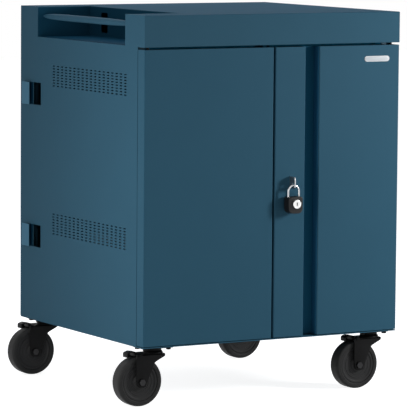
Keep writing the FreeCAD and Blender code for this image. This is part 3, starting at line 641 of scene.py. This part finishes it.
TYRE_PROFILE = both_sides([
    (49.8, 16.2), (50.2, 18.2), (51.0, 18.8), (54.0, 19.0), (54.6, 18.5), (55.2, 18.5), (55.8, 19.0), (58.6, 18.9),
    (60.4, 18.2), (61.9, 16.9), (62.9, 15.0), (63.35, 12.6), (63.5, 9.0), (63.5, 3.0),
])
HUB_PROFILE = both_sides([
    (5.2, 20.3), (13.0, 20.5), (15.8, 20.4), (16.8, 19.6), (17.4, 16.2), (18.6, 15.1), (24.5, 15.0), (25.0, 15.7),
    (26.6, 15.7), (27.1, 15.0), (33.5, 15.0), (34.0, 15.7), (35.6, 15.7), (36.1, 15.0), (41.4, 15.0), (42.6, 15.4),
    (43.4, 16.4), (44.2, 17.0), (48.6, 17.0), (49.5, 16.6), (49.9, 15.6),
])
DOME_PROFILE = [
    (0.0, CROWN_TOP - 1.0 * MM), (26.0 * MM, CROWN_TOP - 1.0 * MM), (25.6 * MM, CROWN_TOP + 1.2 * MM),
    (24.4 * MM, CROWN_TOP + 3.4 * MM), (22.8 * MM, RACE_LOW - 1.2 * MM), (21.6 * MM, RACE_LOW - 0.1 * MM),
    (KINGPIN_R, RACE_LOW), (KINGPIN_R, KINGPIN_TOP), (0.0, KINGPIN_TOP + 0.5 * MM),
]


def stud(shape, centre, radius, half, edge):
    """Round pin along y with both rims cut back by an edge."""
    rim = radius - edge
    profile = [(0.0, -half), (rim, -half), (radius, edge - half), (radius, half - edge), (rim, half), (0.0, half)]
    turned_form(shape, profile, centre, "y", STUD_SIDES)


def swivel_fork(hub_x, king_x, y):
    """Two tapering legs, the crown between them and the domed seat of the kingpin."""
    fork = Shape()
    right_edge = king_x + RACE_R
    left_edge = hub_x - LEG_BACK
    leg = rounded_outline([
        (left_edge, CROWN_TOP, LEG_CORNER), (left_edge, WHEEL_R + LEG_BACK, FOOT_CORNER),
        (hub_x - FOOT_HALF, WHEEL_R - FOOT_R, FOOT_CORNER), (hub_x + FOOT_HALF, WHEEL_R - FOOT_R, FOOT_CORNER),
        (hub_x + LEG_KNEE[0], LEG_KNEE[1], FOOT_R),
        (right_edge, CROWN_LOW - CROWN_SKIRT, SKIRT_CORNER), (right_edge, CROWN_TOP, LEG_CORNER),
    ], 8)
    for w0, w1 in ((y - LEG_OUTER, y - LEG_INNER), (y + LEG_INNER, y + LEG_OUTER)):
        soft_plate(fork, leg, "xz", w0, w1, LEG_EDGE)
    back_edge = hub_x + CROWN_BACK
    crown = rounded_outline([
        (back_edge, y - LEG_OUTER, LEG_CORNER), (right_edge, y - LEG_OUTER, CROWN_CORNER),
        (right_edge, y + LEG_OUTER, CROWN_CORNER), (back_edge, y + LEG_OUTER, LEG_CORNER),
    ])
    soft_plate(fork, crown, "xy", CROWN_LOW, CROWN_TOP, CROWN_EDGE)
    turned_form(fork, DOME_PROFILE, (king_x, y, 0.0), "z", DOME_SIDES)
    return fork


def brake_tread(king_x, y):
    """A folded strip with a drooping toe, on a boss and its pivot pin."""
    tread = Shape()
    strip = strip_outline(PEDAL_PATH + (king_x, 0.0), PEDAL_THICK, PEDAL_BEND, PEDAL_END)
    soft_plate(tread, strip, "xz", y - PEDAL_HALF, y + PEDAL_HALF, PEDAL_EDGE, 5)
    root_x = king_x + PEDAL_ROOT[0]
    root = (root_x, y, PEDAL_ROOT[1])
    stud(tread, root, BOSS_R, PEDAL_HALF - BOSS_GAP, BOSS_EDGE)
    stud(tread, root, PIN_R, LEG_OUTER, PIN_EDGE)
    web = oblong(root_x - BOSS_R / 4, PEDAL_ROOT[1] + PEDAL_WEB / 2, 1.5 * BOSS_R, PEDAL_WEB, WEB_CORNER)
    soft_plate(tread, web, "xz", y - PEDAL_HALF + WEB_GAP, y + PEDAL_HALF - WEB_GAP, WEB_EDGE)
    return tread


for name in ("front_left", "front_right", "rear_left", "rear_right"):
    tyre_low, tyre_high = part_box(f"{name}_tyre")
    hub_x = (tyre_low[0] + tyre_high[0]) / 2
    y = (tyre_low[1] + tyre_high[1]) / 2
    king_x = hub_x + CASTER_TRAIL
    wheel = f"{name}_wheel"
    tyre = Shape()
    turned_form(tyre, TYRE_PROFILE, (hub_x, y, WHEEL_R), "y", TYRE_SIDES)
    piece(f"{name}_solid_tyre", tyre, wheel, rubber, [f"{name}_tyre"], CASTER_SHARP)
    hub = Shape()
    turned_form(hub, HUB_PROFILE, (hub_x, y, WHEEL_R), "y", HUB_SIDES)
    piece(f"{name}_wheel_hub", hub, wheel, hub_black, [f"{name}_hub"], CASTER_SHARP)
    piece(f"{name}_swivel_fork", swivel_fork(hub_x, king_x, y), f"{name}_swivel", fork_black,
          [f"{name}_fork"], CASTER_SHARP)
    piece(f"{name}_brake_tread", brake_tread(king_x, y), f"{name}_brake", fork_black,
          [f"{name}_pedal"], CASTER_SHARP)
    refinish(f"{name}_axle", dark_zinc)


# Push handle: a spindle with stub ends, its radius falling as the root of 1 - q^4 towards them

STUB_R = 3.0 * MM
STUB_LENGTH = 6.0 * MM
GRIP_R = 8.9 * MM
GRIP_STEPS = 81
GRIP_SIDES = 64
GRIP_SHARP = 50.0
handle_low, handle_high = np.array(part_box("push_handle"))
handle_half = (handle_high[1] - handle_low[1]) / 2
q = np.sin(np.linspace(-math.pi / 2, math.pi / 2, GRIP_STEPS))
spindle = np.stack([STUB_R + (GRIP_R - STUB_R) * np.sqrt(1 - q ** 4), q * (handle_half - STUB_LENGTH)], 1)
near_stub = [(0.0, -handle_half), (STUB_R, -handle_half)]
far_stub = [(STUB_R, handle_half), (0.0, handle_half)]
grip = Shape()
turned_form(grip, np.vstack([near_stub, spindle, far_stub]), (handle_low + handle_high) / 2, "y", GRIP_SIDES)
piece("push_grip", grip, "cabinet", paint, ["push_handle"], GRIP_SHARP)


# Padlock: soft-edged body, bent shackle, and a turned face with its keyway

CASE_FOOT_R = 13.0 * MM
CASE_TOP_R = 7.0 * MM
CASE_EDGE = 3.6 * MM
SHACKLE_R = 3.5 * MM
BOW_R = 2.7 * MM
SHORT_LEG = 9.0 * MM
FACE_PROFILE = np.array([
    (0.0, 1.0), (5.2, 1.0), (5.4, 1.5), (5.9, 1.5), (6.1, 0.8), (8.9, 0.8), (9.3, 0.1), (10.2, 0.0), (11.0, 0.2),
    (11.5, 0.9), (11.5, 15.0), (0.0, 15.0),
]) * MM
KEYWAY = (3.0 * MM, 8.6 * MM, 0.5 * MM)
KEYWAY_RUN = (0.85 * MM, 3.0 * MM)
KEYWAY_EDGE = 0.1 * MM
BOW_STEPS = 41
LONG_LEG_STEPS = 11
SHORT_LEG_STEPS = 7
PLUG_SIDES = 72
CASE_SHARP = 45.0
BOW_SHARP = 50.0

body_low, body_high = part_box("padlock_body")
case = Shape()
case_outline = rounded_outline([
    (body_low[0], body_low[2], CASE_FOOT_R), (body_high[0], body_low[2], CASE_FOOT_R),
    (body_high[0], body_high[2], CASE_TOP_R), (body_low[0], body_high[2], CASE_TOP_R),
], 12)
soft_plate(case, case_outline, "xz", body_low[1], body_high[1], CASE_EDGE, 7)
piece("padlock_case", case, "padlock_body", lock_black, ["padlock_body"], CASE_SHARP)

bow_low, bow_high = np.array(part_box("padlock_shackle"))
bow_x, bow_y, _ = (bow_low + bow_high) / 2
bow_half = (bow_high[0] - bow_low[0]) / 2 - SHACKLE_R
bow_z = bow_high[2] - SHACKLE_R - bow_half
turn = np.radians(np.linspace(180, 0, BOW_STEPS))
bow_u = np.concatenate([np.full(LONG_LEG_STEPS, -bow_half), bow_half * np.cos(turn),
                        np.full(SHORT_LEG_STEPS, bow_half)])
long_leg = np.linspace(bow_low[2], bow_z, LONG_LEG_STEPS + 1)[:-1]
short_leg = np.linspace(bow_z, body_high[2] - SHORT_LEG, SHORT_LEG_STEPS + 1)[1:]
bow_v = np.concatenate([long_leg, bow_z + bow_half * np.sin(turn), short_leg])
bow = Shape()
tube(bow, np.stack([bow_x + bow_u, np.full(len(bow_u), bow_y), bow_v], 1), BOW_R)
piece("padlock_bow", bow, "padlock_shackle", chrome, ["padlock_shackle"], BOW_SHARP)

plug_low, plug_high = np.array(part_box("padlock_cylinder"))
plug_x, _, plug_z = (plug_low + plug_high) / 2
plug_y = plug_low[1]
plug = Shape()
turned_form(plug, FACE_PROFILE, (plug_x, plug_y, plug_z), "y", PLUG_SIDES)
piece("padlock_face", plug, "padlock_cylinder", turned, ["padlock_cylinder"])
keyway = Shape()
soft_plate(keyway, oblong(plug_x, plug_z, *KEYWAY), "xz", plug_y + KEYWAY_RUN[0], plug_y + KEYWAY_RUN[1], KEYWAY_EDGE)
piece("padlock_keyway", keyway, "padlock_cylinder", lock_black)


# Right door: a bare plate near the top corner

PLATE_X = (301.2 * MM, 378.2 * MM)
PLATE_Z = (869.0 * MM, 884.0 * MM)
PLATE_RIM = 1.6 * MM
PLATE_STEPS = 14
END_FLAT = 0.1 * MM
RIM_RUN = (-0.9 * MM, 0.2 * MM)
RIM_EDGE = 0.35 * MM
FACE_RUN = (-1.3 * MM, -0.5 * MM)
FACE_EDGE = 0.3 * MM


def plate_outline(inset):
    """Round-ended plate outline, drawn in by an inset."""
    width = PLATE_X[1] - PLATE_X[0] - 2 * inset
    height = PLATE_Z[1] - PLATE_Z[0] - 2 * inset
    return oblong(sum(PLATE_X) / 2, sum(PLATE_Z) / 2, width, height, height / 2 - END_FLAT, PLATE_STEPS)


rim = Shape()
soft_plate(rim, plate_outline(0.0), "xz", cad_front + RIM_RUN[0], cad_front + RIM_RUN[1], RIM_EDGE)
piece("plate_rim", rim, "right_door", rim_steel)
plate = Shape()
soft_plate(plate, plate_outline(PLATE_RIM), "xz", cad_front + FACE_RUN[0], cad_front + FACE_RUN[1], FACE_EDGE)
piece("plate_face", plate, "right_door", enamel)


# Power bay: outlet inserts with their contact slots, and the blades of the inlet

OUTLETS = 10
OUTLET_RECESS = 4.0 * MM
INSERT = (28.0 * MM, 24.0 * MM, 6.0 * MM)
INSERT_HIGH = 2.4 * MM
INSERT_EDGE = 0.6 * MM
CONTACT_LOW = 1.0 * MM
CONTACT_RISE = 0.1 * MM
CONTACT_EDGE = 0.05 * MM
CONTACTS = np.array([(-6.3, 2.5, 2.0, 8.0, 0.4), (6.3, 2.5, 2.0, 6.5, 0.4), (0.0, -6.0, 5.0, 5.0, 2.4)]) * MM
BLADES = np.array([(-9.0, -1.5), (0.0, 2.5), (9.0, -1.5)]) * MM
BLADE = (2.2 * MM, 6.0 * MM, 0.5 * MM)
BLADE_RUN = (3.0 * MM, 15.0 * MM)
BLADE_EDGE = 0.4 * MM

inserts = Shape()
contacts = Shape()
for strip in ("lower_outlet_strip", "upper_outlet_strip"):
    strip_low, strip_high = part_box(strip)
    z = (strip_low[2] + strip_high[2]) / 2
    pitch = (strip_high[0] - strip_low[0]) / OUTLETS
    y = strip_high[1] - OUTLET_RECESS
    for x in strip_low[0] + pitch * (np.arange(OUTLETS) + 0.5):
        soft_plate(inserts, oblong(x, z, *INSERT), "xz", y, y + INSERT_HIGH, INSERT_EDGE)
        for dx, dz, width, height, corner in CONTACTS:
            mark = oblong(x + dx, z + dz, width, height, corner)
            soft_plate(contacts, mark, "xz", y + CONTACT_LOW, y + INSERT_HIGH + CONTACT_RISE, CONTACT_EDGE, 2)
piece("outlet_inserts", inserts, "cabinet", insert_grey)
piece("outlet_contacts", contacts, "cabinet", outlet)

inlet_low, inlet_high = np.array(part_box("power_inlet"))
inlet_x, _, inlet_z = (inlet_low + inlet_high) / 2
blades = Shape()
for dx, dz in BLADES:
    soft_plate(blades, oblong(inlet_x + dx, inlet_z + dz, *BLADE), "xz", inlet_low[1] + BLADE_RUN[0],
               inlet_low[1] + BLADE_RUN[1], BLADE_EDGE)
piece("inlet_blades", blades, "cabinet", zinc)


# Camera, at the photo's angle

CAMERA_PLACE = Vector((-4.2356, -7.4133, 1.3381))
CAMERA_TARGET = Vector((0.0198, 0.0170, 0.4752))
CAMERA_ROLL = math.radians(0.44)
CAMERA_LENS = 283.2
CAMERA_SENSOR = 36.0

camera_data = bpy.data.cameras.new("photo_camera")
camera_data.lens = CAMERA_LENS
camera_data.sensor_width = CAMERA_SENSOR
camera = bpy.data.objects.new("photo_camera", camera_data)
bpy.context.scene.collection.objects.link(camera)
ahead = (CAMERA_TARGET - CAMERA_PLACE).normalized()
level = ahead.cross(Vector((0, 0, 1))).normalized()
above = level.cross(ahead)
right = level * math.cos(CAMERA_ROLL) + above * math.sin(CAMERA_ROLL)
upward = above * math.cos(CAMERA_ROLL) - level * math.sin(CAMERA_ROLL)
camera.matrix_world = Matrix.Translation(CAMERA_PLACE) @ Matrix((right, upward, -ahead)).transposed().to_4x4()
bpy.context.scene.camera = camera


# Floor, backdrop light and lamps

FLOOR = 14.0
FLOOR_GLOW = 0.86
FLOOR_ROUGH = 0.9
FLOOR_PATCH = 2.0
FLOOR_TONES = (0.62, 0.66)
SKY_LIGHT = 0.18
SKY_COLOUR = (0.93, 0.97, 1.0, 1)


def seen_white(tree, shader_socket, out_socket, strength):
    """White of a strength to the camera, mirror and glass rays; the given shader to the light that bounces."""
    paths = tree.nodes.new("ShaderNodeLightPath")
    white = tree.nodes.new("ShaderNodeEmission")
    white.inputs["Color"].default_value = (1, 1, 1, 1)
    white.inputs["Strength"].default_value = strength
    seen = paths.outputs["Is Camera Ray"]
    for kind in ("Is Glossy Ray", "Is Transmission Ray"):
        either = tree.nodes.new("ShaderNodeMath")
        either.operation = "MAXIMUM"
        tree.links.new(seen, either.inputs[0])
        tree.links.new(paths.outputs[kind], either.inputs[1])
        seen = either.outputs[0]
    mix = tree.nodes.new("ShaderNodeMixShader")
    tree.links.new(seen, mix.inputs["Fac"])
    tree.links.new(shader_socket, mix.inputs[1])
    tree.links.new(white.outputs["Emission"], mix.inputs[2])
    tree.links.new(mix.outputs["Shader"], out_socket)
    return white, mix


floor_material, floor_tree, floor_shader, floor_coords = new_material("pale_floor")
floor_shader.inputs["Roughness"].default_value = FLOOR_ROUGH
floor_tone = noise(floor_tree, floor_coords, FLOOR_PATCH)
floor_tree.links.new(ramp(floor_tree, floor_tone, *FLOOR_TONES), floor_shader.inputs["Base Color"])
floor_out = next(n for n in floor_tree.nodes if n.type == "OUTPUT_MATERIAL")
glow, floor_mix = seen_white(floor_tree, floor_shader.outputs["BSDF"], floor_out.inputs["Surface"], FLOOR_GLOW)
shaded = floor_tree.nodes.new("ShaderNodeAddShader")
floor_tree.links.new(glow.outputs["Emission"], shaded.inputs[0])
floor_tree.links.new(floor_shader.outputs["BSDF"], shaded.inputs[1])
floor_tree.links.new(shaded.outputs["Shader"], floor_mix.inputs[2])
floor_mesh = bpy.data.meshes.new("floor")
floor_mesh.from_pydata([(-FLOOR, -FLOOR, 0), (FLOOR, -FLOOR, 0), (FLOOR, FLOOR, 0), (-FLOOR, FLOOR, 0)], [],
                       [(0, 1, 2, 3)])
floor_mesh.materials.append(floor_material)
floor = bpy.data.objects.new("floor", floor_mesh)
bpy.context.scene.collection.objects.link(floor)

world = bpy.data.worlds.new("studio")
world.use_nodes = True
bpy.context.scene.world = world
sky_tree = world.node_tree
sky_tree.nodes.clear()
sky_out = sky_tree.nodes.new("ShaderNodeOutputWorld")
sky = sky_tree.nodes.new("ShaderNodeBackground")
sky.inputs["Color"].default_value = SKY_COLOUR
sky.inputs["Strength"].default_value = SKY_LIGHT
seen_white(sky_tree, sky.outputs["Background"], sky_out.inputs["Surface"], 1.0)


def lamp(name, place, aim, size, power, colour=(1, 1, 1)):
    """Soft box of a size at a place, aimed at a point."""
    data = bpy.data.lights.new(name, "AREA")
    data.shape = "RECTANGLE"
    data.size, data.size_y = size
    data.energy = power
    data.color = colour
    obj = bpy.data.objects.new(name, data)
    bpy.context.scene.collection.objects.link(obj)
    obj.location = place
    obj.rotation_euler = (Vector(aim) - Vector(place)).to_track_quat("-Z", "Y").to_euler()
    return obj


lamp("key", (1.72, -1.55, 1.1), (0.3, -0.3, 0.6), (0.35, 0.5), 34.0)
lamp("side_fill", (-1.15, -0.42, 0.58), (-0.35, -0.30, 0.50), (0.5, 1.2), 6.2)
lamp("overhead", (0.4, 0.2, 3.2), (0.1, 0.0, 0.9), (2.4, 2.4), 16.0, (0.92, 1.0, 1.2)).visible_glossy = False
lamp("back_fill", (0.6, 3.2, 2.0), (0.0, 0.3, 0.5), (2.4, 2.0), 30.0).visible_glossy = False

bpy.context.scene.view_settings.view_transform = "Standard"
